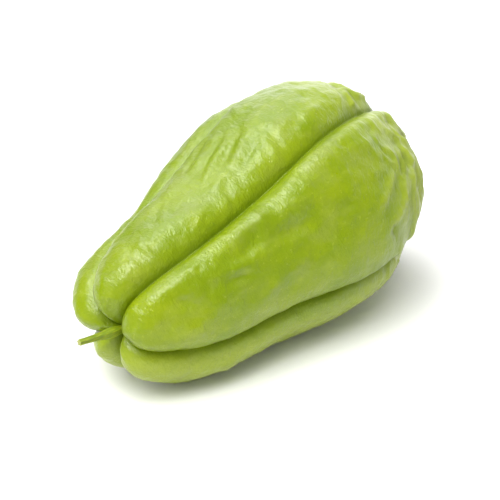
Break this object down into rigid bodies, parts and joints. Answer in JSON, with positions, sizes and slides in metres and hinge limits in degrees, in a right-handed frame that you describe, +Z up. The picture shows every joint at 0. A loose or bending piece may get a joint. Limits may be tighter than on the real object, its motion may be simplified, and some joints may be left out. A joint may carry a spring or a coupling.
{
  "type": "chayote squash",
  "caption": "Whole chayote squash, pear-shaped and deeply furrowed into lobes, lying on its side with its short stem in the end pit.",
  "frame": {"origin": "middle of the object's box seen from above, on the surface that the fruit lies on", "axes": "+X along the fruit from the stem end to the blossom end, +Z up from the surface, -Y towards the side with the broad front lobe"},
  "size_m": [0.1549, 0.09, 0.0852],
  "materials": {
    "skin": "satin, waxy light green fruit skin",
    "stem": "matt, fibrous green stem"
  },
  "bodies": {
    "root": {"fruit": "skin", "stem": "stem"}
  },
  "joints": []
}
